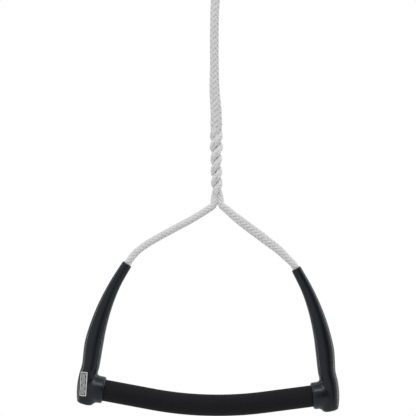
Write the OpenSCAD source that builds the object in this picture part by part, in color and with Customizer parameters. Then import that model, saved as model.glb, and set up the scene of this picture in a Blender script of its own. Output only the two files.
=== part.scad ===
// Tow rope handle: a rubber-gripped radius bar between two moulded arm guards, hung from a braided
// rope bridle that is locked by a twisted splice and ends above in an eye loop.
//
// Frame: millimetres, +Z up along the rope, the bar runs along X, Y is the thickness of the handle.
// The origin is where a tow line bears inside the top of the eye loop, and the handle hangs below it.

/* [Handle] */
// Overall width over the two arm guards
handle_w = 330; // [315:1:340]
// Height from the bar's level up to the eye loop's bearing point
hang_height = 635; // [625:5:700]

/* [Bar] */
// Outside diameter of the aluminium tube
tube_d = 22; // [20:0.5:23]
// Wall thickness of the tube
tube_wall = 1.5; // [1:0.1:2]
// Outside diameter of the rubber grip
grip_d = 26.8; // [25:0.1:28]
// Length of the grip from end to end across the bar
grip_span = 265; // [260:1:268]
// Radius of the bend in the middle of the bar
bend_r = 450; // [420:10:500]
// How far each end of the bar turns up
end_angle = 9; // [8:0.5:10]

/* [Arm guards] */
// Radius of each arm's inward curve
arm_r = 275; // [270:1:280]
// Angle through which each arm curves, up to its tip
arm_angle = 32.3; // [31:0.1:33]
// Diameter of the rim around each end of the grip
rim_d = 33; // [32:0.5:34]
// Depth of the badge recess in the hub
badge_depth = 1.2; // [1:0.1:1.4]

/* [Rope] */
// Diameter of the bridle rope
bridle_d = 9.4; // [9:0.1:9.6]
// Diameter of the tow rope
rope_d = 11.8; // [11:0.1:12.4]
// Diameter of the twisted lock splice
splice_d = 15; // [14:0.1:15.4]

/* [Hidden] */
$fn = 64;

// Heights inside the handle are counted from the bar's level, where this brings them to the frame
bar_level = -hang_height;

// Bar: a shallow arc in the middle with straight ends
bar_dip = 11.5;                                  // how far the middle of the bar hangs below bar level
bend_half = bend_r * sin(end_angle);             // half width of the bent stretch
bend_rise = bend_r * (1 - cos(end_angle));       // rise of the bend from the middle to its ends
tube_end = handle_w / 2 - 21.5;                  // x of the tube's ends
seam_lap = 0.5;                                  // how far a straight end starts inside the bend
seam_step = 0.1;                                 // how much thinner a straight end is
tube_bore = tube_d - 2 * tube_wall;
socket_gap = 0.15;                               // radial room between a tube and its socket

// Bush: a flanged nylon guide that keeps the rope off the tube's edge
bush_len = 18;
bush_flange = 1.6;
bush_bore = bridle_d + 0.8;
bush_mouth = 2;                                  // how far the bush's mouth flares
rope_gap = 0.4;                                  // radial room around the rope in a channel

// Arms: the centre line is an arc that stands upright at its foot
arm_foot = [handle_w / 2 - 16, 16];              // x and height where the arc begins
arm_centre = [arm_foot[0] - arm_r, arm_foot[1]];
arm_power = 2.2;                                 // roundness of a section: 2 is an ellipse
arm_sides = 28;

// Swing pivots of the bridle rope, just outside the arms' tips
pivot_gap = bridle_d / 2 + 0.5;

// Sections up the hub: x, height, width across, depth in Y. Its foot is square to the bar's end.
hub_foot = [
    [handle_w / 2 - 11.0, -14.2, 15.4, 19.0],
    [handle_w / 2 - 11.2, -13.4, 18.8, 22.6]
];
hub_stations = [
    [handle_w / 2 - 11.7, -11.2, 21.2, 26.0],
    [handle_w / 2 - 11.2,  -5.0, 22.0, 28.6],
    [handle_w / 2 - 10.8,   3.0, 21.8, 29.4],
    [handle_w / 2 - 11.6,  12.0, 22.2, 29.2],
    [handle_w / 2 - 13.2,  21.5, 22.2, 28.6]
];
// Sections along the arc: angle, width across, depth in Y
arc_stations = [
    [ 4.0, 22.2, 27.2],
    [ 9.2, 23.6, 25.5],
    [13.4, 21.8, 23.0],
    [17.8, 19.3, 20.5],
    [22.2, 16.7, 18.0],
    [26.8, 14.4, 15.8],
    [arm_angle, 12.7, 14.4]
];
tip_edge = 0.8;                                  // rounding of the tip's edge

// Collar around the end of the grip: a rounded rim that widens a little and then sinks into the hub.
// Sections from the rim outward: radius beyond the rim's, distance from the collar's face
collar_start = grip_span / 2 - 1.5;
collar_profile = [[-1.4, 0], [-0.5, 0.5], [0, 2.1], [0.3, 8], [0.3, 12], [-0.7, 16], [-3.2, 20]];
seat_depth = 4;                                  // how far the grip's end is covered
socket_depth = 15;

// Badge: a curved plate in a recess of the hub, on the outer part of its face
badge_size = [9.2, 30.4];
badge_at = [handle_w / 2 - 9.1, 14.15, 12.9];
badge_turn = 14;                                 // how far it faces outward
badge_lean = 2;
badge_curve = 10;                                // radius of its face
badge_corner = 1.5;
badge_room = 0.2;                                // room around its edge

// Route of the rope through one hub, as x and height, from the tube's end up into the arm
hub_route = [
    [tube_end, 5.7],
    [handle_w / 2 - 16.0,  7.8],
    [handle_w / 2 - 11.4, 12.5],
    [handle_w / 2 - 11.0, 20.0],
    [handle_w / 2 - 13.6, 30.0],
    [handle_w / 2 - 17.0, 45.0],
    [handle_w / 2 - 19.8, 62.0]
];

// Routes of the free ropes, as x and height above bar level, on the centre line
tow_route = [
    [0, hang_height - 75], [-2, hang_height - 95], [-4, 515], [-5, 480], [-4.5, 445], [-3.5, 415],
    [-2.5, 385], [0, 360], [1, 338]
];
tow_radii = [8.2, 7.8, 6.4, 5.9, 5.9, 5.9, 6.9, 7.2, 7.4];
splice_route = [[1.3, 330], [1.8, 310], [2.2, 290], [3.4, 271], [4.5, 253.2]];
left_route = [
    [0.2, 241.5], [-10, 233], [-27, 221.4], [-46, 210.5], [-65, 199.5], [-82, 189], [-95, 178.5]
];
right_route = [
    [10, 241.5], [17, 236], [27, 227], [42, 216], [57, 205.5], [71, 195.5], [84, 186], [95, 176]
];
// How much each leg is flattened at those points: its width over the bridle rope's diameter
left_flat = [1, 1, 1, 1, 1, 1, 1];
right_flat = [1, 1.08, 1.2, 1.28, 1.3, 1.26, 1.18, 1.06];
// Half of the eye loop from its throat to its top, from the origin down
eye_route = [[6.3, -74.4], [8.5, -66], [15, -54], [21, -42], [25, -26], [22.5, -9], [12.5, 3]];
eye_top = 0.5 * rope_d;

// Colours
rubber_colour = [0.13, 0.14, 0.16];
grip_colour = [0.09, 0.09, 0.1];
rope_colour = [0.82, 0.82, 0.81];
nylon_colour = [0.9, 0.9, 0.86];
badge_colour = [0.75, 0.76, 0.78];

// ---- Curves ---------------------------------------------------------------------------------

// A point at t from 0 to 1 between b and c, on a smooth curve through a, b, c and d
function curve_point(a, b, c, d, t) =
    0.5 * (2 * b + (c - a) * t + (2 * a - 5 * b + 4 * c - d) * t * t + (3 * b - a - 3 * c + d) * t * t * t);

// A smooth curve through the points p, with the given number of steps between each two
function smooth(p, steps) = [
    for (i = [0 : len(p) - 2])
        let (
            before = i == 0 ? 2 * p[0] - p[1] : p[i - 1],
            after = i == len(p) - 2 ? 2 * p[i + 1] - p[i] : p[i + 2]
        )
        for (k = [0 : steps - 1]) curve_point(before, p[i], p[i + 1], after, k / steps),
    p[len(p) - 1]
];

function unit(v) = v / norm(v);
function ahead(p, i) = unit(p[min(i + 1, len(p) - 1)] - p[max(i - 1, 0)]);

// One closed section across a path in the XZ plane: at is [x, z], along is the path's direction
function section(at, along, half_w, half_d, sides, power) = [
    for (k = [0 : sides - 1])
        let (
            c = cos(360 * k / sides),
            s = sin(360 * k / sides),
            u = half_w * sign(c) * pow(abs(c), 2 / power),
            v = half_d * sign(s) * pow(abs(s), 2 / power)
        )
        [at[0] + u * along[1], v, at[1] - u * along[0]]
];

// A solid swept along stations of [x, z, half width, half depth]
module sweep(stations, sides, power = 2) {
    spine = [for (s = stations) [s[0], s[1]]];
    last = len(stations) - 1;
    points = [
        for (i = [0 : last])
            each section(spine[i], ahead(spine, i), stations[i][2], stations[i][3], sides, power)
    ];
    walls = [
        for (i = [0 : last - 1])
            for (k = [0 : sides - 1])
                let (
                    a = i * sides + k,
                    b = i * sides + (k + 1) % sides
                )
                each [[b, a, b + sides], [b + sides, a, a + sides]]
    ];
    start_cap = [for (k = [0 : sides - 1]) k];
    end_cap = [for (k = [sides - 1 : -1 : 0]) last * sides + k];
    polyhedron(points, concat(walls, [start_cap, end_cap]), convexity = 6);
}

// A rope of even radius through a route of [x, z] points
module rope(route, radius, sides = 10) {
    sweep([for (p = route) [p[0], p[1], radius, radius]], sides);
}

// Stations of a rounded rope end, before the point at, for a rope that sets off in a direction
function round_end(at, along, radius) = [
    [each (at - 0.9 * radius * along), 0.44 * radius, 0.44 * radius],
    [each (at - 0.55 * radius * along), 0.84 * radius, 0.84 * radius]
];

module raise() {
    translate([0, 0, bar_level]) children();
}

// ---- Bar ------------------------------------------------------------------------------------

// A round bar out to x at each end. The straight ends start a little inside the bend and are a hair
// thinner, so that the two surfaces never coincide.
module bent_round(diameter, end_x) {
    straight = (end_x - bend_half) / cos(end_angle);
    translate([0, 0, bend_r - bar_dip]) rotate([90, 0, 0]) rotate([0, 0, 270 - end_angle])
        rotate_extrude(angle = 2 * end_angle) translate([bend_r, 0]) circle(d = diameter);
    for (side = [0, 1])
        mirror([side, 0, 0]) translate([bend_half, 0, bend_rise - bar_dip])
            rotate([0, 90 - end_angle, 0]) translate([0, 0, -seam_lap])
                cylinder(d = diameter - seam_step, h = straight + seam_lap);
}

module bent_tube(outer_d, inner_d, end_x) {
    difference() {
        bent_round(outer_d, end_x);
        bent_round(inner_d, end_x + 1);
    }
}

module bar_tube() {
    color("silver") raise() bent_tube(tube_d, tube_bore, tube_end);
}

module grip_sleeve() {
    color(grip_colour) raise() bent_tube(grip_d, tube_d, grip_span / 2);
}

// Places its children on the bar's end axis: Z points outward and the start is at x on the axis
module on_end_axis(x) {
    translate([x, 0, bend_rise - bar_dip + (x - bend_half) * tan(end_angle)])
        rotate([0, 90 - end_angle, 0]) children();
}

module bush() {
    on_end_axis(tube_end) difference() {
        union() {
            translate([0, 0, -bush_len]) cylinder(d = tube_bore - 0.1, h = bush_len + 0.01);
            cylinder(d = tube_d - 0.6, h = bush_flange);
        }
        translate([0, 0, -bush_len - 1]) cylinder(d = bush_bore, h = bush_len + bush_flange + 2);
        translate([0, 0, bush_flange - 1.2])
            cylinder(d1 = bush_bore, d2 = bush_bore + 2 * bush_mouth, h = 1.3);
    }
}

module right_bush() {
    color(nylon_colour) raise() bush();
}

module left_bush() {
    color(nylon_colour) raise() mirror([1, 0, 0]) bush();
}

// ---- Arm guards -----------------------------------------------------------------------------

// A point on the arm's arc, as x and height
function arm_point(angle) = arm_centre + arm_r * [cos(angle), sin(angle)];

arm_tip_way = [-sin(arm_angle), cos(arm_angle)];
arm_tip = arm_point(arm_angle) + tip_edge * arm_tip_way;
tip_pivot = arm_tip + pivot_gap * arm_tip_way;
tip_section = arc_stations[len(arc_stations) - 1];

arm_stations = concat(
    [for (s = hub_foot) [s[0], s[1], s[2] / 2, s[3] / 2]],
    smooth(
        concat(
            [for (s = hub_stations) [s[0], s[1], s[2] / 2, s[3] / 2]],
            [for (s = arc_stations) [each arm_point(s[0]), s[1] / 2, s[2] / 2]]
        ), 3
    ),
    [[each arm_tip, tip_section[1] / 2 - tip_edge, tip_section[2] / 2 - tip_edge]]
);

// Centre line of the rope inside the arm, from the tube's end to the tip
arm_route = concat(
    smooth(hub_route, 2),
    [for (angle = [14 : 3 : arm_angle - 2]) arm_point(angle)],
    [arm_tip]
);

module collar() {
    collar_end = collar_profile[len(collar_profile) - 1][1];
    on_end_axis(collar_start) rotate_extrude()
        polygon([
            [0, 0],
            for (p = collar_profile) [rim_d / 2 + p[0], p[1]],
            [0, collar_end]
        ]);
}

// Places its children on the badge: Y points out of its face
module on_badge() {
    translate(badge_at) rotate([0, -badge_lean, 0]) rotate([0, 0, -badge_turn]) children();
}

// A block with the badge's outline, grown by some room, from below the badge to a height above it
module badge_block(room, above) {
    below = badge_depth + 3;
    translate([0, -below, 0]) rotate([-90, 0, 0]) linear_extrude(below + above)
        offset(badge_corner + room) square(badge_size - 2 * badge_corner * [1, 1], center = true);
}

module badge_round(inset, height) {
    translate([0, -badge_curve, 0]) cylinder(r = badge_curve - inset, h = height, center = true);
}

// The right arm with its badge at the back; the left arm is the same moulding, turned half round
module arm() {
    difference() {
        union() {
            sweep(arm_stations, arm_sides, arm_power);
            collar();
        }
        // seat of the grip's end, then the tube's socket
        on_end_axis(collar_start - 1) cylinder(d = grip_d + 1.4, h = seat_depth);
        on_end_axis(collar_start) cylinder(d = tube_d + 2 * socket_gap, h = socket_depth);
        // way of the rope through the hub and up the arm
        rope(concat(arm_route, [arm_tip + 2 * arm_tip_way]), bridle_d / 2 + rope_gap, 12);
        on_badge() difference() {
            badge_block(badge_room, 5);
            badge_round(badge_depth, 50);
        }
    }
}

module badge() {
    on_badge() intersection() {
        badge_block(0, 1);
        difference() {
            badge_round(0, 40);
            badge_round(badge_depth - 0.02, 41);
        }
    }
}

module right_arm() {
    color(rubber_colour) raise() arm();
}

module left_arm() {
    color(rubber_colour) raise() rotate([0, 0, 180]) arm();
}

module right_badge() {
    color(badge_colour) raise() badge();
}

module left_badge() {
    color(badge_colour) raise() rotate([0, 0, 180]) badge();
}

// ---- Bridle rope inside the handle ------------------------------------------------------------

module arm_rope() {
    rope(arm_route, bridle_d / 2, 10);
}

module right_arm_rope() {
    color(rope_colour) raise() arm_rope();
}

module left_arm_rope() {
    color(rope_colour) raise() mirror([1, 0, 0]) arm_rope();
}

module bar_rope() {
    color(rope_colour) raise() bent_round(bridle_d, tube_end - 0.2);
}

// ---- Free rope ------------------------------------------------------------------------------

// A free leg from the splice's foot to the pivot at one arm's tip. A flattened rope gets thinner in Y.
module leg(route, flat, side) {
    pivot = [side * tip_pivot[0], tip_pivot[1]];
    radius = bridle_d / 2;
    first = unit(route[1] - route[0]);
    last = unit(route[len(route) - 1] - pivot);
    ends = round_end(pivot, last, radius);
    sweep(
        concat(
            round_end(route[0], first, radius),
            [for (i = [0 : len(route) - 1]) [each route[i], radius * flat[i], radius * (1.5 - flat[i] / 2)]],
            [[each pivot, radius, radius], ends[1], ends[0]]
        ), 10
    );
}

module left_leg() {
    color(rope_colour) raise() leg(left_route, left_flat, -1);
}

module right_leg() {
    color(rope_colour) raise() leg(right_route, right_flat, 1);
}

module lock_splice() {
    color(rope_colour) raise() rope(splice_route, splice_d / 2, 12);
}

module tow_rope() {
    last = len(tow_route) - 1;
    below = unit(tow_route[last - 1] - tow_route[last]);
    ends = round_end(tow_route[last], below, tow_radii[last]);
    color(rope_colour) raise() sweep(
        concat(
            [for (i = [0 : last]) [each tow_route[i], tow_radii[i], tow_radii[i]]],
            [ends[1], ends[0]]
        ), 12
    );
}

module eye_loop() {
    half = concat(eye_route, [[0, eye_top]]);
    other = [for (i = [len(eye_route) - 1 : -1 : 0]) [-eye_route[i][0], eye_route[i][1]]];
    color(rope_colour) rope(smooth(concat(half, other), 2), rope_d / 2, 10);
}

eye_loop();
tow_rope();
lock_splice();
left_leg();
right_leg();
left_arm();
right_arm();
left_badge();
right_badge();
bar_tube();
grip_sleeve();
left_bush();
right_bush();
left_arm_rope();
bar_rope();
right_arm_rope();
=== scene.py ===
"""Tow rope handle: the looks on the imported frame.

Lengths are in millimetres and angles in degrees."""
from math import cos, pi, radians, sin, tan

import bmesh
import bpy
import numpy as np
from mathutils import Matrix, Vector


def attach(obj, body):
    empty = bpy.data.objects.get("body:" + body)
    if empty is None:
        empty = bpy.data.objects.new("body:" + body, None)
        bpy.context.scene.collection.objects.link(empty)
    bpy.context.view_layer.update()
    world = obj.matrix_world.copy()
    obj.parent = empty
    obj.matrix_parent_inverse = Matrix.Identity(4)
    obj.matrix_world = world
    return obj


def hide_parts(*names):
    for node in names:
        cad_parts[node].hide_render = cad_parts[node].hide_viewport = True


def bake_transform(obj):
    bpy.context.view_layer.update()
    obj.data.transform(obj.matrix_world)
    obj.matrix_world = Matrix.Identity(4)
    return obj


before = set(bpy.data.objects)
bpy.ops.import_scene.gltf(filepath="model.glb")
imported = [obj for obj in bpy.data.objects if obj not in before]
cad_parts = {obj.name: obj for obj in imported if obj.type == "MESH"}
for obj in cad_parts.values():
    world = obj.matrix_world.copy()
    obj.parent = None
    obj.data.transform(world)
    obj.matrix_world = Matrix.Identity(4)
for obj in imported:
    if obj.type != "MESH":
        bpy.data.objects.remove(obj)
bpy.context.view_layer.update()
rng = np.random.default_rng(7)

MM = 0.001
BAR_LEVEL = -635.0  # the bar's level below the eye loop's bearing point; heights in the handle count from it
HALF_W = 165.0
Y = np.array([0.0, 1.0, 0.0])
HALF_TURN = [-1, -1, 1]  # the left arm is the right one, turned half round the rope

# ---- Camera: a long lens square to the handle, rolled as the handle leans ---------------------

SEEN_W = 0.5233  # width of the view where the handle is
DISTANCE = 1.45
VIEW_X, VIEW_Z = -0.0066, -0.3986  # the middle of the view
LEAN = 1.6
SENSOR_W = 36

camera = bpy.data.objects.new("camera", bpy.data.cameras.new("camera"))
bpy.context.scene.collection.objects.link(camera)
camera.data.sensor_width = SENSOR_W
camera.data.lens = SENSOR_W * DISTANCE / SEEN_W
camera.data.clip_end = 50
camera.location = (VIEW_X, -DISTANCE, VIEW_Z)
camera.rotation_euler = (radians(90), radians(-LEAN), 0)
bpy.context.scene.camera = camera

# ---- Curves and meshes ------------------------------------------------------------------------


def smooth(points, steps=24):
    """A Catmull-Rom curve through the points, as the CAD makes it."""
    p = np.array(points, float)
    p = np.vstack([2 * p[0] - p[1], p, 2 * p[-1] - p[-2]])
    t = np.linspace(0, 1, steps, endpoint=False)[:, None]
    made = []
    for a, b, c, d in zip(p, p[1:], p[2:], p[3:]):
        square, cube = 2 * a - 5 * b + 4 * c - d, 3 * b - a - 3 * c + d
        made.append(0.5 * (2 * b + (c - a) * t + square * t**2 + cube * t**3))
    return np.vstack([*made, p[-2:-1]])


def arc_length(p):
    return np.concatenate([[0], np.cumsum(np.linalg.norm(np.diff(p, axis=0), axis=1))])


def even(p, step):
    """The line p at even steps along its first three columns; further columns are carried along."""
    s = arc_length(p[:, :3])
    at = np.linspace(0, s[-1], max(2, int(round(s[-1] / step)) + 1))
    return np.column_stack([np.interp(at, s, p[:, k]) for k in range(p.shape[1])])


def unit(v):
    return v / np.linalg.norm(v, axis=-1, keepdims=True)


def relax(p, times):
    """Evens out the kinks of a line, with its ends kept."""
    p = p.copy()
    for _ in range(times):
        p[1:-1] += 0.5 * (0.5 * (p[:-2] + p[2:]) - p[1:-1])
    return p


def in_handle(route):
    """A route of x and height above the bar's level, in the row frame."""
    r = np.array(route, float)
    return np.column_stack([r[:, 0], np.zeros(len(r)), r[:, 1] + BAR_LEVEL])


def planar_side(path):
    """The direction across a line, in the plane of the handle."""
    return np.cross(Y, np.gradient(path, axis=0))


def new_object(name, vertices, faces, attributes=()):
    """A mesh object in the row frame, from millimetres."""
    mesh = bpy.data.meshes.new(name)
    mesh.from_pydata((np.asarray(vertices) * MM).tolist(), [], [list(map(int, f)) for f in faces])
    mesh.validate()
    for key, kind, values in attributes:
        field = mesh.attributes.new(key, kind, "POINT")
        part = "vector" if kind == "FLOAT_VECTOR" else "value"
        field.data.foreach_set(part, np.ravel(values).astype(np.float32))
    mesh.shade_smooth()
    made = bpy.data.objects.new(name, mesh)
    bpy.context.scene.collection.objects.link(made)
    return made


def tube_faces(rings, sides, first=0):
    """Quads between rings of points, with flat caps."""
    i, k = np.meshgrid(np.arange(rings - 1), np.arange(sides), indexing="ij")
    a = first + i * sides + k
    b = first + i * sides + (k + 1) % sides
    quads = np.stack([a, b, b + sides, a + sides], -1).reshape(-1, 4).tolist()
    quads.append(list(range(first + sides - 1, first - 1, -1)))
    quads.append(list(range(first + (rings - 1) * sides, first + rings * sides)))
    return quads


def apply_modifiers(obj):
    """Replaces the mesh by what its modifiers make of it."""
    bpy.context.view_layer.update()
    made = bpy.data.meshes.new_from_object(obj.evaluated_get(bpy.context.evaluated_depsgraph_get()))
    obj.modifiers.clear()
    obj.data = made
    made.shade_smooth()


# ---- Rope -------------------------------------------------------------------------------------

CARRIERS = 6  # strands that go round each way
STRAND_HALF = 0.19  # half a strand's thickness, as a share of the rope's half size
STRAND_FILL = 1.07  # a strand's width, as a share of what would just fill the rope's round
CORE_SIDES = 12
CORE_SINK = 1.5  # how many half thicknesses of a strand the core lies inside


def braid(name, centre, side, across, depth, lead, relief, turn=0.0, start=0.0, sides=8):
    """A braided rope along centre: twelve flat strands, each over two and under two, round a plain core.

    side is the direction of its width, across and depth are its half sizes, lead is the height of one V and
    relief how far a strand rises and falls. turn and start say where the braid begins, round it and along it.
    The mesh carries two patterns. lay is a point's place along and across its strand, with a random number of
    the strand's own. crest is how far the point stands out, from 0 in the creases to 1 on top; it sets
    painted shade, which darkens the rope's colour in the creases, on the strands' sides and where a strand
    dips under."""
    n = len(centre)
    s = arc_length(centre) + start
    tangent = unit(np.gradient(centre, axis=0))
    u = unit(side - (side * tangent).sum(1, keepdims=True) * tangent)
    v = np.cross(tangent, u)
    half_t = STRAND_HALF * np.minimum(across, depth)
    middle = 0.5 * (across + depth) - half_t
    slope = np.arctan(2 * pi * middle / (CARRIERS * lead))
    half_w = STRAND_FILL * pi * middle * np.cos(slope) / CARRIERS
    psi = -pi / 2 + 2 * pi * np.arange(sides) / sides
    sideways = np.cos(psi)[:, None]
    outward = (np.sin(psi) * (1 - 0.1 * np.cos(psi) ** 2))[:, None]
    # painted shade: a strand is lightest on its outward face and darker towards its sides
    top = 0.25 + 0.75 * np.maximum(np.sin(psi), 0) ** 1.5
    vertices, faces, lay, crest_shading = [], [], [], []
    for way in (1, -1):
        for i in range(CARRIERS):
            angle = way * 2 * pi * s / (CARRIERS * lead) + 2 * pi * i / CARRIERS
            # from -1 to 1, held nearly flat over two strands and under two
            wave = np.tanh(1.6 * np.cos(0.5 * (angle * CARRIERS / pi - 0.5) * pi)) / 0.92
            lift = way * relief * wave
            c, d = np.cos(angle + turn)[:, None], np.sin(angle + turn)[:, None]
            line_across = (across - half_t - relief + lift)[:, None]
            line_depth = (depth - half_t - relief + lift)[:, None]
            line = centre + c * line_across * u + d * line_depth * v
            out = unit(c / across[:, None] * u + d / depth[:, None] * v)
            along = unit(np.gradient(line, axis=0))
            over = unit(np.cross(along, out))
            out = np.cross(over, along)
            ring = line[:, None] + sideways * (half_w[:, None] * over)[:, None]
            ring = ring + outward * (half_t[:, None] * out)[:, None]
            faces += tube_faces(n, sides, len(vertices) * n * sides)
            vertices.append(ring.reshape(-1, 3))
            run = arc_length(line)[:, None] + 100 * rng.random()
            own = np.full((1, 1), 17.0 * rng.random())
            lay.append(np.stack(np.broadcast_arrays(run, 3 * np.cos(psi)[None], own), -1).reshape(-1, 3))
            # painted shade: a strand is darker where it dips under the others, and on its sides
            crest_shading.append(((0.6 + 0.4 * way * wave)[:, None] * top[None]).ravel())
    faces += tube_faces(n, CORE_SIDES, sum(map(len, vertices)))
    core_across = (across - CORE_SINK * half_t - relief)[:, None]
    core_depth = (depth - CORE_SINK * half_t - relief)[:, None]
    round_core = 2 * pi * np.arange(CORE_SIDES) / CORE_SIDES
    core = [centre + np.cos(a) * core_across * u + np.sin(a) * core_depth * v for a in round_core]
    vertices.append(np.stack(core, 1).reshape(-1, 3))
    lay.append(np.zeros((n * CORE_SIDES, 3)))
    # the core gets crest 0, painted as the darkest shade between the strands
    crest_shading.append(np.zeros(n * CORE_SIDES))
    patterns = [("lay", "FLOAT_VECTOR", np.vstack(lay)), ("crest_shading", "FLOAT", np.concatenate(crest_shading))]
    return new_object(name, np.vstack(vertices), faces, patterns)


# ---- Tow rope and eye loop --------------------------------------------------------------------

TOW_R = 5.9  # of the bare rope
TOW_LEAD, TOW_RELIEF = 7.0, 0.55
TOW_STEP = 1.5

# from inside the splice's head up to the eye, as x, height and radius
tow = [[1.3, 325, 4.6], [1, 338, 7.6], [0, 360, 7.3], [-2.5, 385, 6.8], [-3.5, 415, TOW_R]]
tow += [[-4.5, 445, TOW_R], [-5, 480, TOW_R], [-4, 515, 6.4], [-2, 540, 7.6], [0, 560, 7.9]]
tow = np.array(tow)
stem = even(smooth(np.column_stack([in_handle(tow[:, :2]), tow[:, 2]])), TOW_STEP)

# out of the throat, up one side of the eye and over its top, in the row frame's x and z
eye = np.array([[6.3, -74.4], [8.5, -66], [15, -54], [21, -42], [25, -26], [22.5, -9], [12.5, 3], [0, TOW_R]])
eye = np.vstack([eye, eye[-2::-1] * [-1, 1]])
eye = np.column_stack([eye[:, 0], np.zeros(len(eye)), eye[:, 1], np.full(len(eye), TOW_R)])
# the two ends in the throat, as x, y, z and radius
lead_in = np.array([[0.4, 0, -92.0, 5.0], [2.6, 0, -84.0, 5.7]])
lead_out = np.array([[-2.6, 0, -84.0, 5.7], [-0.6, 0, -92.0, 4.6]])
loop = even(smooth(np.vstack([lead_in, eye, lead_out])), TOW_STEP)


def tow_braid(name, run, turn=0.0):
    path, radius = run[:, :3], run[:, 3]
    return braid(name, path, planar_side(path), radius, radius, TOW_LEAD, TOW_RELIEF, turn)


tow_piece = tow_braid("tow_rope_braid", stem, turn=radians(15))
eye_piece = tow_braid("eye_loop_braid", loop)

# ---- Bridle: two ropes laid round each other through the splice, then out to the arms' tips ----

BRIDLE_D = 9.4
BRIDLE_LEAD, BRIDLE_RELIEF = 5.6, 0.36
BRIDLE_TURN = 0.3  # in radians
PITCH = 30.0
SPLICE_FOOT = 253.2
FOOT_LEVEL = SPLICE_FOOT + BAR_LEVEL
PARTING = 8.0  # how far below the splice's foot the two ropes part
PARTING_ACROSS = 4.95  # half the width of each there
LAY_R = 3.75  # from the splice's axis to the line of each rope
LAID_ACROSS, LAID_DEPTH = 3.75, 4.35  # half sizes of a rope pressed against the other
KNOB_AT, KNOB_REACH = 321.0, 9.0  # height of the first turn, which stands out, and how far it reaches
KNOB_LIFT, KNOB_ACROSS, KNOB_DEPTH = 0.6, 0.8, 0.3  # what it adds to LAY_R and to the half sizes
SPLICE_ROUTE = [[1.3, 336], [1.3, 330], [1.8, 310], [2.2, 290], [3.4, 271], [4.5, SPLICE_FOOT]]
splice_axis = even(smooth(in_handle(SPLICE_ROUTE)), 1.0)

ARM_R = 275.0
ARM_FOOT = np.array([HALF_W - 16, 16.0])
ARM_CENTRE = ARM_FOOT - [ARM_R, 0]
ARM_ANGLE = 32.3
TIP_EDGE = 0.8


def arm_point(angle):
    return ARM_CENTRE + ARM_R * np.array([cos(radians(angle)), sin(radians(angle))])


tip_way = np.array([-sin(radians(ARM_ANGLE)), cos(radians(ARM_ANGLE))])
tip = arm_point(ARM_ANGLE) + TIP_EDGE * tip_way
pivot = tip + (BRIDLE_D / 2 + 0.5) * tip_way  # on the hinge line

LEFT_ROUTE = [[1.2, 240], [-10, 232.4], [-27, 221.4], [-46, 210.5], [-65, 199.5], [-82, 189], [-95, 178.5]]
RIGHT_ROUTE = [[8.8, 241], [17, 235.2], [27, 227], [42, 216], [57, 205.5], [71, 195.5], [84, 186], [95, 176]]
# which way a leg goes, its route down to the arm's tip, and the rope's width there as a share of its diameter
LEGS = {
    "left": (-1, LEFT_ROUTE, [1] * len(LEFT_ROUTE)),
    "right": (1, RIGHT_ROUTE, [1, 1.08, 1.2, 1.28, 1.3, 1.26, 1.18, 1.06]),
}


def splice_stations(way):
    """One rope's x, y, z, side (3), half across and half depth, down the splice."""
    phase = 2 * pi * (FOOT_LEVEL - splice_axis[:, 2]) / PITCH + (0 if way > 0 else pi)
    out = np.column_stack([np.cos(phase), -np.sin(phase), np.zeros(len(phase))])
    knob = 1 / (1 + ((splice_axis[:, 2:3] - BAR_LEVEL - KNOB_AT) / KNOB_REACH) ** 4)
    line = splice_axis + (LAY_R + KNOB_LIFT * knob) * out
    return np.hstack([line, out, LAID_ACROSS + KNOB_ACROSS * knob, LAID_DEPTH + KNOB_DEPTH * knob])


def leg_stations(way, route, width):
    """The same along one leg, from the splice's foot into its arm."""
    covered = [pivot, arm_point(ARM_ANGLE - 1.0), arm_point(ARM_ANGLE - 2.5)]
    points = in_handle([*route, *(p * [way, 1] for p in covered)])
    share = np.array([*width, *(1 for _ in covered)])
    r = BRIDLE_D / 2
    free = even(smooth(np.column_stack([points, r * share, r * (1.5 - share / 2)])), 1.0)
    side = unit(planar_side(free[:, :3])) * -way
    return np.column_stack([free[:, :3], side, free[:, 3:]])


def bridle(way, route, width):
    """The stations of one rope from the splice's head to inside its arm, eased where the ropes part."""
    laid, free = splice_stations(way), leg_stations(way, route, width)
    whole = even(np.vstack([laid, free[free[:, 2] < FOOT_LEVEL - PARTING]]), 1.3)
    eased = np.column_stack([relax(whole[:, :3], 12), relax(whole[:, 3:], 30)])
    away = np.abs(FOOT_LEVEL - whole[:, 2:3] - PARTING)
    whole += np.clip(1.4 - away / 12, 0, 1) * (eased - whole)  # eased up to 5 away, and not beyond 17
    whole[:, 6:7] = np.maximum(whole[:, 6:7], PARTING_ACROSS - 0.12 * away)
    return whole


def lay_bridle(name, at, start):
    shape = at[:, :3], at[:, 3:6], at[:, 6], at[:, 7]
    return braid(name, *shape, BRIDLE_LEAD, BRIDLE_RELIEF, turn=BRIDLE_TURN, start=start)


LOWER_RUN = 72.0  # length of the lower piece of a leg, which bends at the arm's tip
bridle_pieces = {}
for label, leg in LEGS.items():
    line = bridle(*leg)
    s = arc_length(line[:, :3])
    split = int(np.searchsorted(s, s[-1] - LOWER_RUN))
    upper = lay_bridle(f"{label}_bridle_upper", line[: split + 1], 0.0)
    lower = lay_bridle(f"{label}_bridle_lower", line[split:], s[split])
    bridle_pieces[label] = (line[:, :3], split, upper, lower)

# ---- The ropes in place of the CAD's, with their transforms baked -----------------------------


def cord_of(path):
    """Turns a run of rope, given in millimetres, into metres, and keeps nothing of it."""
    path = np.asarray(path) * MM


def bend(piece):
    """Bakes the piece's place into its mesh."""
    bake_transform(piece)


cord_of(stem[:, :3])
cord_of(loop[:, :3])
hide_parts("tow_rope")
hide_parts("eye_loop")
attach(eye_piece, "tow_line")
bend(tow_piece)
for label, (path, split, upper, lower) in bridle_pieces.items():
    cord_of(path[: split + 1])
    cord_of(path[split:][::-1])
    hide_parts("lock_splice", f"{label}_leg")
    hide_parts(f"{label}_leg")
    bend(upper)
    bend(lower)

# ---- Bar and grip -----------------------------------------------------------------------------

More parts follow.
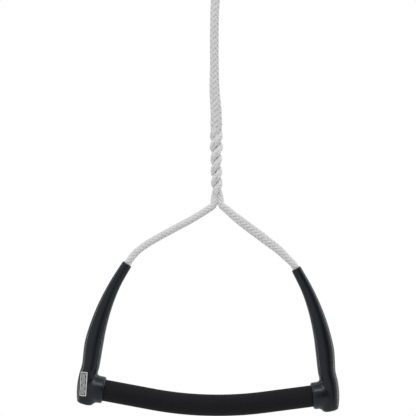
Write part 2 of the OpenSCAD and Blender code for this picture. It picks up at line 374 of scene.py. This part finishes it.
BEND_R, END_ANGLE, BAR_DIP = 450.0, 9.0, 11.5
bend_half, bend_rise = BEND_R * sin(radians(END_ANGLE)), BEND_R * (1 - cos(radians(END_ANGLE)))
GRIP_R, GRIP_HALF = 13.4, 132.5
GRIP_BORE_R, GRIP_EDGE = 11.2, 0.9


def bar_height(x):
    """Height of the bar's axis above the bar's level."""
    x = np.abs(x)
    arc = BEND_R - np.sqrt(np.maximum(BEND_R**2 - x**2, 0)) - BAR_DIP
    return np.where(x < bend_half, arc, bend_rise - BAR_DIP + (x - bend_half) * tan(radians(END_ANGLE)))


def round_bar(profile, sides):
    """A round skin on the bar's axis, from (x, radius) pairs."""
    x, radius = np.array(profile).T
    centre = in_handle(np.column_stack([x, bar_height(x)]))
    lean = (bar_height(x + 0.5) - bar_height(x - 0.5))[:, None] * [0, 0, 1] + [1.0, 0, 0]
    up = unit(np.cross(unit(lean), Y))
    a = 2 * pi * np.arange(sides)[:, None] / sides
    ring = centre[:, None] + radius[:, None, None] * (np.cos(a) * Y + np.sin(a) * up[:, None])
    return ring.reshape(-1, 3), tube_faces(len(profile), sides)


def make_grip():
    end = [
        (GRIP_HALF - GRIP_EDGE + GRIP_EDGE * sin(t), GRIP_R - GRIP_EDGE + GRIP_EDGE * cos(t))
        for t in np.linspace(pi / 2, 0, 6)
    ]
    profile = [(-GRIP_HALF, GRIP_BORE_R)] + [(-x, r) for x, r in end]
    profile += [(x, GRIP_R) for x in np.linspace(-GRIP_HALF + 2, GRIP_HALF - 2, 180)]
    profile += end[::-1] + [(GRIP_HALF, GRIP_BORE_R)]
    return new_object("grip", *round_bar(profile, 72))


def on_handle(piece, slot, *nodes):
    """The piece moves with the handle and stands for these CAD nodes."""
    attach(piece, "handle")
    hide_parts(*nodes)
    return piece


grip = on_handle(make_grip(), "grip_rubber", "grip_sleeve")

# The bridle rope where the handle covers it, down one arm, along the tube and up the other
hub_route = [[143.5, 5.7], [149, 7.8], [153.6, 12.5], [154, 20], [151.4, 30], [148, 45], [145.2, 62]]
arm_route = hub_route + [list(arm_point(a)) for a in (17, 21, 25, 28, ARM_ANGLE - 3.2)]
tube_route = [[x, float(bar_height(x))] for x in np.linspace(-138, 138, 40)]
hidden = [[-x, height] for x, height in arm_route[::-1]] + tube_route + arm_route
hidden = even(smooth(in_handle(hidden), 8), 3.0)
radius = np.full(len(hidden), BRIDLE_D / 2 - 0.1)
inner = braid("inner_rope", hidden, planar_side(hidden), radius, radius, BRIDLE_LEAD, 0.4, sides=6)
on_handle(inner, "rope", "left_arm_rope", "bar_rope", "right_arm_rope")

# ---- Arm guards: the shapes that make one, on the right ---------------------------------------

ARM_POWER = 2.2  # roundness of a section: 2 is an ellipse
# x, height, width and depth of the sections of the foot and the hub
FOOT = [[HALF_W - 11.0, -14.2, 15.4, 19.0], [HALF_W - 11.2, -13.4, 18.8, 22.6]]
HUB = [
    [HALF_W - 11.7, -11.2, 21.2, 26.0],
    [HALF_W - 11.2, -5.0, 22.0, 28.6],
    [HALF_W - 10.8, 3.0, 21.8, 29.4],
    [HALF_W - 11.6, 12.0, 22.2, 29.2],
    [HALF_W - 13.2, 21.5, 22.2, 28.6],
]
# angle on the arm's arc, width and depth
ARC = [
    [4.0, 22.2, 27.2],
    [9.2, 23.6, 25.5],
    [13.4, 21.8, 23.0],
    [17.8, 19.3, 20.5],
    [22.2, 16.7, 18.0],
    [26.8, 14.4, 15.8],
    [ARM_ANGLE, 12.7, 14.4],
]
RIM_R, COLLAR_START = 16.5, 131.0
# radius beyond the rim's, and distance out from the collar's start
COLLAR = [[-1.4, 0], [-0.5, 0.5], [0, 2.1], [0.3, 8], [0.3, 12], [-0.7, 16], [-3.2, 20]]
OVERSIZE = 0.25  # what the smoothing of the skin takes back from the collar
SEAT_R, SEAT_LENGTH = 14.1, 4.5
SOCKET_R, SOCKET_DEPTH = 11.15, 15.0
CHANNEL_R, CHANNEL_BEYOND = 5.1, 8  # the channel's cutter goes on beyond the tip
end_tilt = radians(END_ANGLE)
END_AXIS = np.array([cos(end_tilt), 0, sin(end_tilt)])
END_UP = np.array([-sin(end_tilt), 0, cos(end_tilt)])


def on_bar(x):
    """The point of the bar's axis at x."""
    return np.array([x, 0, float(bar_height(x))])


def lathe(profile, x, sides=96):
    """A solid of revolution on the bar's end axis, from (radius, out) pairs counted from x outward."""
    a = 2 * pi * np.arange(sides) / sides
    rings = [np.column_stack([r * np.cos(a), r * np.sin(a), np.full(sides, out)]) for r, out in profile]
    p = np.vstack(rings)
    points = on_bar(x) + p[:, :1] * END_UP + p[:, 1:2] * Y + p[:, 2:3] * END_AXIS
    return points, tube_faces(len(profile), sides)


def superellipse(at, along, half_w, half_d, sides, power):
    """A section square to a spine at a point of it."""
    a = 2 * pi * np.arange(sides) / sides
    u = half_w * np.sign(np.cos(a)) * np.abs(np.cos(a)) ** (2 / power)
    v = half_d * np.sign(np.sin(a)) * np.abs(np.sin(a)) ** (2 / power)
    return np.column_stack([at[0] + u * along[1], v, at[1] - u * along[0]])


def lofted(stations, power, sides=72):
    """A solid through sections square to its spine, from x, height, half width and half depth."""
    spine = np.array(stations)[:, :2]
    way = unit(np.gradient(spine, axis=0))
    rings = [superellipse(p, w, s[2], s[3], sides, power) for p, w, s in zip(spine, way, stations)]
    return np.vstack(rings), tube_faces(len(stations), sides)


def arm_solid():
    foot, hub = ([(x, height, w / 2, d / 2) for x, height, w, d in part] for part in (FOOT, HUB))
    arc = [(*arm_point(angle), w / 2, d / 2) for angle, w, d in ARC]
    end = (*tip, ARC[-1][1] / 2 - TIP_EDGE, ARC[-1][2] / 2 - TIP_EDGE)
    return lofted(np.vstack([foot, smooth(hub + arc, 10), end]), ARM_POWER)


def collar_solid():
    profile = [(RIM_R - 1.0, -OVERSIZE)] + [(RIM_R + OVERSIZE + r, out) for r, out in COLLAR]
    return lathe(profile, COLLAR_START)


def channel_solid():
    """The rope's way through the arm, from inside the socket to beyond the tip."""
    arc = [arm_point(a) for a in np.arange(14.5, ARM_ANGLE - 1, 1.5)]
    line = np.vstack([smooth(hub_route, 6), arc, tip, tip + CHANNEL_BEYOND * tip_way])
    line = np.vstack([line[0] - [10, 1.5], line])
    half = np.full(len(line), CHANNEL_R)
    return lofted(np.column_stack([line, half, half]), 2, 32)


# ---- Badge: a curved plate in a recess of the hub, here on the right hub's back ----------------

BADGE = np.array([9.2, 30.4])
BADGE_DEPTH, BADGE_CURVE, BADGE_CORNER = 1.2, 10.0, 1.5
BADGE_AT = np.array([HALF_W - 9.1, 14.15, 12.9])
BADGE_TURN, BADGE_LEAN = -14, -2
RECESS_GAP, RECESS_REACH = 0.2, 5.0  # room round the badge, and how far its cutter stands out
BACK_GAP = 0.03  # between the badge's back and the recess's floor
PRINT_RISE = 0.12
FRAME_IN, FRAME_HALF = 0.75, 0.45  # the printed frame: distance in from the edge, and half its width
WAVES, WAVE_HALF, WAVE_SWAY, WAVE_LENGTH = (-1.7, 0, 1.7), 0.3, 0.55, 7.5
WAVE_INSET, WAVE_END = 1.7, 2.2  # what the waves keep clear of the plate's edge, and of its two ends
EDGE_FALL, EDGE_WIDTH = 0.25, 0.4  # how the face rounds off at its edge


def on_badge(points):
    """Points of (across, out of its face, up) on the right hub's badge."""
    t, lean = radians(BADGE_TURN), radians(BADGE_LEAN)
    p = np.asarray(points, float)
    x, y = p[:, 0] * cos(t) - p[:, 1] * sin(t), p[:, 0] * sin(t) + p[:, 1] * cos(t)
    x, z = x * cos(lean) + p[:, 2] * sin(lean), p[:, 2] * cos(lean) - x * sin(lean)
    return np.column_stack([x, y, z]) + BADGE_AT


def badge_grid(grow, across, up):
    """Grid of (u, v) over a rectangle with round corners."""
    half = BADGE / 2 + grow
    corner = BADGE_CORNER + grow
    # closer together towards the ends, for the corners
    v = half[1] * np.sin(np.linspace(-pi / 2, pi / 2, up)) * 0.35 + half[1] * np.linspace(-1, 1, up) * 0.65
    over = np.clip(np.abs(v) - (half[1] - corner), 0, corner)
    width = half[0] - corner + np.sqrt(np.maximum(corner**2 - over**2, 1e-4))
    return np.linspace(-1, 1, across)[None] * width[:, None], np.repeat(v[:, None], across, 1)


def badge_fall(u, curve=BADGE_CURVE):
    """Height of a round face at u, from its middle."""
    return np.sqrt(np.maximum(curve**2 - u**2, 0)) - curve


def badge_back(u):
    """Height of the recess's floor at u, from the middle of the badge's face."""
    return badge_fall(u, BADGE_CURVE - BADGE_DEPTH) - BADGE_DEPTH


def badge_solid(u, v, top, bottom):
    """A closed plate over the grid, with the given heights of its face and back."""
    n, m = u.shape
    sheets = [np.stack([u, height, v], -1).reshape(-1, 3) for height in (top, bottom)]
    i, k = np.meshgrid(np.arange(n - 1), np.arange(m - 1), indexing="ij")
    a = (i * m + k).ravel()
    face = np.stack([a, a + 1, a + m + 1, a + m], -1)
    back = face[:, ::-1] + n * m
    low, right = np.arange(m), np.arange(1, n) * m + m - 1
    high, left = (n - 1) * m + np.arange(m - 2, -1, -1), np.arange(n - 2, 0, -1) * m
    edge = np.concatenate([low, right, high, left])
    after = np.roll(edge, -1)
    rim = np.stack([after, edge, edge + n * m, after + n * m], -1)
    return on_badge(np.vstack(sheets)), np.vstack([face, back, rim]).tolist()


def recess_solid():
    u, v = badge_grid(RECESS_GAP, 21, 61)
    return badge_solid(u, v, np.full(u.shape, RECESS_REACH), badge_back(u))


def printed(distance, half_width):
    """1 on a printed line and 0 away from it, with a soft edge."""
    return np.clip(1.6 - np.abs(distance) / half_width, 0, 1)


def badge_plate():
    """The plate's solid, and where it is printed: a raised frame round three wave lines."""
    u, v = badge_grid(0.0, 81, 241)
    half = BADGE / 2
    inset = np.minimum(half[0] - np.abs(u), half[1] - np.abs(v))
    sway = WAVE_SWAY * np.sin(2 * pi * v / WAVE_LENGTH)
    waves = sum(printed(u - k - sway, WAVE_HALF) for k in WAVES)
    waves = waves * np.clip((inset - WAVE_INSET) / 0.2, 0, 1) * (np.abs(v) < half[1] - WAVE_END)
    shown = np.clip(printed(inset - FRAME_IN, FRAME_HALF) + waves, 0, 1)
    edge = -EDGE_FALL * np.clip(1 - inset / EDGE_WIDTH, 0, 1) ** 2
    solid = badge_solid(u, v, badge_fall(u) + edge + PRINT_RISE * shown, badge_back(u) + BACK_GAP)
    return solid, np.concatenate([shown.ravel(), np.zeros(shown.size)])


# ---- Both arms and both badges ----------------------------------------------------------------

SKIN_STEP = 0.55
SKIN_SMOOTHING = 6  # times
FILLET_TIMES = 110
FILLET_START, FILLET_END = (3, 7), (21, 27)  # distances out along the bar's axis where it sets in and ends
FILLET_R, FILLET_FADE = 18, (3, 9)  # its middle radius, and where it fades to both sides of that


def placed(points, turned):
    """Points of the right arm in the row frame, turned half round for the left arm."""
    return np.array(points) * (HALF_TURN if turned else 1) + [0, 0, BAR_LEVEL]


def helper(name, shape, turned):
    """A closed form of the arm in its place, with its faces turned outward."""
    points, faces = shape
    made = new_object(name, placed(points, turned), faces)
    bm = bmesh.new()
    bm.from_mesh(made.data)
    bmesh.ops.recalc_face_normals(bm, faces=bm.faces)
    bm.to_mesh(made.data)
    bm.free()
    return made


def boolean(target, operation, tool):
    change = target.modifiers.new(operation.lower(), "BOOLEAN")
    change.operation = operation
    change.solver = "EXACT"
    change.object = tool


def ease(x, low, high):
    t = np.clip((x - low) / (high - low), 0, 1)
    return t * t * (3 - 2 * t)


def fillet(obj, turned):
    """Softens the corner where the collar meets the hub and the arm."""
    mesh = obj.data
    points = np.empty(3 * len(mesh.vertices))
    mesh.vertices.foreach_get("co", points)
    points = points.reshape(-1, 3)
    edges = np.empty(2 * len(mesh.edges), int)
    mesh.edges.foreach_get("vertices", edges)
    edges = edges.reshape(-1, 2)
    a, b = np.concatenate([edges, edges[:, ::-1]]).T
    at = (points / MM - [0, 0, BAR_LEVEL]) * (HALF_TURN if turned else 1) - on_bar(COLLAR_START)
    out = at @ END_AXIS
    radius = np.sqrt(np.maximum((at**2).sum(1) - out**2, 0))
    weight = ease(out, *FILLET_START) * (1 - ease(out, *FILLET_END))
    weight = weight * (1 - ease(np.abs(radius - FILLET_R), *FILLET_FADE))
    count = np.bincount(a, minlength=len(points))[:, None]
    for _ in range(FILLET_TIMES):
        mean = np.stack([np.bincount(a, points[b, k], len(points)) for k in range(3)], 1) / count
        points += 0.5 * weight[:, None] * (mean - points)
    mesh.vertices.foreach_set("co", points.ravel())
    mesh.update()


def make_arm(name, turned):
    """The arm and its collar under one skin, with the seat, socket, channel and recess cut into it."""
    body = helper(name, arm_solid(), turned)
    collar = helper("collar", collar_solid(), turned)
    boolean(body, "UNION", collar)
    apply_modifiers(body)
    skin = body.modifiers.new("skin", "REMESH")
    skin.mode = "VOXEL"
    skin.voxel_size = SKIN_STEP * MM
    even_out = body.modifiers.new("even", "SMOOTH")
    even_out.factor = 0.5
    even_out.iterations = SKIN_SMOOTHING
    apply_modifiers(body)
    fillet(body, turned)
    shapes = {
        # a third of the seat's cutter lies outside the collar
        "seat": lathe([(SEAT_R, 0), (SEAT_R, SEAT_LENGTH)], COLLAR_START - SEAT_LENGTH / 3),
        "socket": lathe([(SOCKET_R, 0), (SOCKET_R, SOCKET_DEPTH)], COLLAR_START),
        "channel": channel_solid(),
        "recess": recess_solid(),
    }
    tools = [helper(key, shape, turned) for key, shape in shapes.items()]
    for tool in tools:
        boolean(body, "DIFFERENCE", tool)
    apply_modifiers(body)
    for tool in [collar, *tools]:
        bpy.data.objects.remove(tool)
    return body


def make_badge(name, turned):
    (points, faces), shown = badge_plate()
    return new_object(name, placed(points, turned), faces, [("print", "FLOAT", shown)])


SIDES = {"right": False, "left": True}  # whether the arm is turned half round
arms = [
    on_handle(make_arm(f"{label}_arm_guard", turned), "arm_rubber", f"{label}_arm")
    for label, turned in SIDES.items()
]
badges = [
    on_handle(make_badge(f"{label}_badge_plate", turned), "badge", f"{label}_badge")
    for label, turned in SIDES.items()
]

# ---- Materials --------------------------------------------------------------------------------

NOISE_LOW, NOISE_HIGH = 0.3, 0.7  # what a noise mostly lies between


class Nodes:
    """Short calls that add shader nodes to a tree."""

    def __init__(self, tree):
        self.tree = tree

    def node(self, kind, links=(), **values):
        made = self.tree.nodes.new("ShaderNode" + kind)
        for key, value in values.items():
            if hasattr(made, key):
                setattr(made, key, value)
            else:
                made.inputs[key.replace("_", " ")].default_value = value
        for socket, source in dict(links).items():
            self.tree.links.new(source, made.inputs[socket])
        return made

    def place(self, kind="Object"):
        return self.node("TexCoord").outputs[kind]

    def stretch(self, at, scale):
        return self.node("Mapping", {"Vector": at}, Scale=scale).outputs["Vector"]

    def noise(self, at, scale, detail=3.0, rough=0.55):
        made = self.node("TexNoise", {"Vector": at}, Scale=scale, Detail=detail, Roughness=rough)
        return made.outputs["Fac"]

    def math(self, operation, a, b):
        made = self.node("Math", operation=operation)
        for socket, value in zip(made.inputs, (a, b)):
            if isinstance(value, (int, float)):
                socket.default_value = value
            else:
                self.tree.links.new(value, socket)
        return made.outputs[0]

    def span(self, value, low, high, to_low, to_high):
        """Maps low to high onto to_low to to_high."""
        made = self.node("MapRange", {"Value": value})
        for key, number in zip(("From Min", "From Max", "To Min", "To Max"), (low, high, to_low, to_high)):
            made.inputs[key].default_value = number
        return made.outputs["Result"]

    def spread(self, noise, low, high):
        """Maps a noise onto low to high."""
        return self.span(noise, NOISE_LOW, NOISE_HIGH, low, high)

    def ramp(self, value, *stops):
        made = self.node("ValToRGB", {"Fac": value})
        points = made.color_ramp.elements
        while len(points) < len(stops):
            points.new(0.5)
        for point, (position, colour) in zip(points, stops):
            point.position = position
            point.color = (*colour, 1)
        return made.outputs["Color"]

    def mottled(self, noise, first, second):
        """A colour that goes from the first to the second with the noise."""
        return self.ramp(noise, (NOISE_LOW, first), (NOISE_HIGH, second))


class Look(Nodes):
    """A material on one Principled shader, whose patterns are nodes."""

    def __init__(self, name, colour, roughness, **sockets):
        self.material = bpy.data.materials.new(name)
        self.material.use_nodes = True
        super().__init__(self.material.node_tree)
        self.shader = self.tree.nodes["Principled BSDF"]
        self.shader.inputs["Base Color"].default_value = (*colour, 1)
        self.shader.inputs["Roughness"].default_value = roughness
        for key, value in sockets.items():
            self.shader.inputs[key.replace("_", " ")].default_value = value
        self.material.diffuse_color = (*colour, 1)

    def attribute(self, name, output="Fac"):
        return self.node("Attribute", attribute_name=name).outputs[output]

    def colour(self, output):
        self.tree.links.new(output, self.shader.inputs["Base Color"])

    def roughness(self, output):
        self.tree.links.new(output, self.shader.inputs["Roughness"])

    def bump(self, height, distance):
        made = self.node("Bump", {"Height": height}, Strength=1.0, Distance=distance)
        self.tree.links.new(made.outputs["Normal"], self.shader.inputs["Normal"])

    def put_on(self, *objects):
        for o in objects:
            o.data.materials.clear()
            o.data.materials.append(self.material)


def rope_look(name, lift):
    """Off-white braid; lift makes a copy of it lighter, painted light for a rope that is lit more brightly.
    """
    look = Look(name, (0.7, 0.7, 0.69), 0.8, Specular_IOR_Level=0.3, Sheen_Weight=0.1, Sheen_Roughness=0.5)
    lay, crest_shading = look.attribute("lay", "Vector"), look.attribute("crest_shading")
    fibres = look.noise(look.stretch(lay, (0.16, 2.2, 1.0)), 1.6, detail=4.0, rough=0.6)
    patches = look.noise(look.place(), 55.0)
    strands = look.noise(look.stretch(lay, (0.01, 0.0, 1.0)), 1.4, detail=1.0)
    # painted shade: the crest runs the colour from the darkest shade in the creases to the lightest on top
    tone = look.math("ADD", look.span(crest_shading, 0.2, 0.9, 0.0, 0.62), look.spread(fibres, 0.0, 0.14))
    tone = look.math("ADD", tone, look.spread(patches, 0.0, 0.14))
    tone = look.math("ADD", tone, look.spread(strands, 0.0, 0.12))
    shades = ((0.0, (0.58, 0.575, 0.57)), (0.5, (0.72, 0.72, 0.72)), (1.0, (0.8, 0.8, 0.805)))
    look.colour(look.ramp(tone, *((at, tuple(lift * c for c in shade)) for at, shade in shades)))
    look.roughness(look.spread(fibres, 0.72, 0.9))
    fuzz = look.noise(look.place(), 2600.0, detail=2.0)
    look.bump(look.math("ADD", fibres, look.math("MULTIPLY", fuzz, 0.35)), 0.00011)
    return look


def arm_look():
    """Satin blue-black rubber, faintly mottled."""
    look = Look("arm_rubber", (0.006, 0.007, 0.011), 0.26, Specular_Tint=(0.86, 0.92, 1.0, 1.0))
    mottle = look.noise(look.place(), 38.0, detail=4.0)
    grain = look.noise(look.place(), 1500.0, detail=2.0)
    look.colour(look.mottled(mottle, (0.002, 0.0026, 0.005), (0.0045, 0.0055, 0.0095)))
    look.roughness(look.math("ADD", look.spread(mottle, 0.2, 0.28), look.spread(grain, -0.03, 0.03)))
    look.bump(look.math("ADD", grain, look.math("MULTIPLY", mottle, 0.6)), 0.00004)
    return look


def grip_look():
    """Matte rubber with a fine dimpled texture."""
    look = Look("grip_rubber", (0.012, 0.012, 0.014), 0.72, Specular_IOR_Level=0.15)
    at = look.place()
    dots = look.node("TexVoronoi", {"Vector": at}, Scale=900.0, Randomness=0.35).outputs["Distance"]
    rub = look.noise(at, 60.0, detail=4.0)
    look.colour(look.mottled(rub, (0.0085, 0.008, 0.01), (0.014, 0.0135, 0.0165)))
    look.roughness(look.spread(rub, 0.62, 0.8))
    look.bump(look.math("ADD", dots, look.math("MULTIPLY", rub, 0.3)), 0.00025)
    return look


def badge_look():
    """Dark satin plastic with a light print."""
    look = Look("badge_plate", (0.1, 0.1, 0.11), 0.4)
    speck = look.noise(look.place(), 700.0, detail=2.0)
    tone = look.math("ADD", look.attribute("print"), look.spread(speck, -0.06, 0.06))
    look.colour(look.ramp(tone, (0.3, (0.045, 0.048, 0.058)), (0.6, (0.8, 0.81, 0.83))))
    look.roughness(look.spread(speck, 0.35, 0.48))
    look.bump(speck, 0.00003)
    return look


def tube_look():
    """Aluminium with the lines of drawing along it."""
    look = Look("drawn_tube", (0.72, 0.73, 0.75), 0.35, Metallic=1.0)
    drawn = look.noise(look.stretch(look.place(), (6.0, 900.0, 900.0)), 1.0)
    look.colour(look.mottled(drawn, (0.62, 0.63, 0.65), (0.78, 0.79, 0.8)))
    look.roughness(look.spread(drawn, 0.28, 0.42))
    look.bump(drawn, 0.00002)
    return look


def nylon_look():
    """Natural nylon, slightly cloudy."""
    look = Look("nylon", (0.78, 0.77, 0.7), 0.45, Subsurface_Weight=0.1)
    cloud = look.noise(look.place(), 220.0)
    look.colour(look.mottled(cloud, (0.72, 0.71, 0.64), (0.82, 0.81, 0.76)))
    look.roughness(look.spread(cloud, 0.4, 0.55))
    look.bump(cloud, 0.00005)
    return look


legs = [piece for _, _, upper, lower in bridle_pieces.values() for piece in (upper, lower)]
rope_look("tow_rope_braid", 1.0).put_on(tow_piece, eye_piece)
# the bridle's braid is painted lighter than the tow rope's, as painted light for the brighter legs
rope_look("bridle_braid", 1.09).put_on(inner, *legs)
arm_look().put_on(*arms)
grip_look().put_on(grip)
badge_look().put_on(*badges)
tube_look().put_on(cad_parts["bar_tube"])
nylon_look().put_on(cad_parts["left_bush"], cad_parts["right_bush"])

# ---- Floor, world and lamps -------------------------------------------------------------------

FLOOR_Z, FLOOR_HALF = -2.0, 6.0
corners = [(x * FLOOR_HALF, y * FLOOR_HALF, FLOOR_Z) for x, y in ((-1, -1), (1, -1), (1, 1), (-1, 1))]
floor_mesh = bpy.data.meshes.new("floor")
floor_mesh.from_pydata(corners, [], [(0, 1, 2, 3)])
floor = bpy.data.objects.new("floor", floor_mesh)
bpy.context.scene.collection.objects.link(floor)
Look("pale_floor", (0.8, 0.8, 0.79), 0.8).put_on(floor)

# azimuth and brightness of the room: the camera's side is 0.5, the left 0.25, the right 0.75
ROOM = [(0.0, 0.65), (0.1, 0.42), (0.22, 0.52), (0.34, 0.66), (0.47, 0.64), (0.52, 0.36), (0.55, 0.16)]
ROOM += [(0.615, 0.16), (0.67, 0.75), (0.8, 1.0), (1.0, 0.65)]
OVERHEAD = 0.85


def studio():
    """A white backdrop, and around it a pale room with a darker corner to the right of the camera."""
    world = bpy.data.worlds.new("studio")
    bpy.context.scene.world = world
    world.use_nodes = True
    nodes = Nodes(world.node_tree)
    way = nodes.node("SeparateXYZ", {"Vector": nodes.place("Generated")}).outputs
    azimuth = nodes.math("ARCTAN2", way["X"], nodes.math("MULTIPLY", way["Y"], -1.0))
    azimuth = nodes.span(azimuth, -pi, pi, 0.0, 1.0)
    room = nodes.ramp(azimuth, *((position, [level] * 3) for position, level in ROOM))
    overhead = nodes.math("MULTIPLY", nodes.span(way["Z"], 0.35, 0.75, 0.0, 1.0), OVERHEAD)
    backdrop = nodes.span(way["Y"], 0.88, 0.962, 0.0, 1.0)
    level = nodes.math("MAXIMUM", room, nodes.math("MAXIMUM", overhead, backdrop))
    background = world.node_tree.nodes["Background"]
    background.inputs["Color"].default_value = (1, 1, 1, 1)
    world.node_tree.links.new(level, background.inputs["Strength"])


def softbox(name, place, aim, width, height, power):
    lamp = bpy.data.lights.new(name, "AREA")
    lamp.shape, lamp.size, lamp.size_y, lamp.energy = "RECTANGLE", width, height, power
    made = bpy.data.objects.new(name, lamp)
    bpy.context.scene.collection.objects.link(made)
    made.location = place
    made.rotation_euler = Vector(np.subtract(aim, place)).to_track_quat("-Z", "Y").to_euler()


studio()
bpy.context.scene.view_settings.view_transform = "Standard"
bpy.context.scene.view_settings.look = "None"
softbox("left_strip", (-1.4, 0.35, -0.3), (0, 0, -0.45), width=0.12, height=1.6, power=3)
softbox("right_strip", (1.4, 0.4, -0.3), (0, 0, -0.45), width=0.12, height=1.6, power=3)
softbox("top_box", (-0.1, -1.0, 0.8), (0, 0, -0.55), width=1.4, height=0.6, power=6)
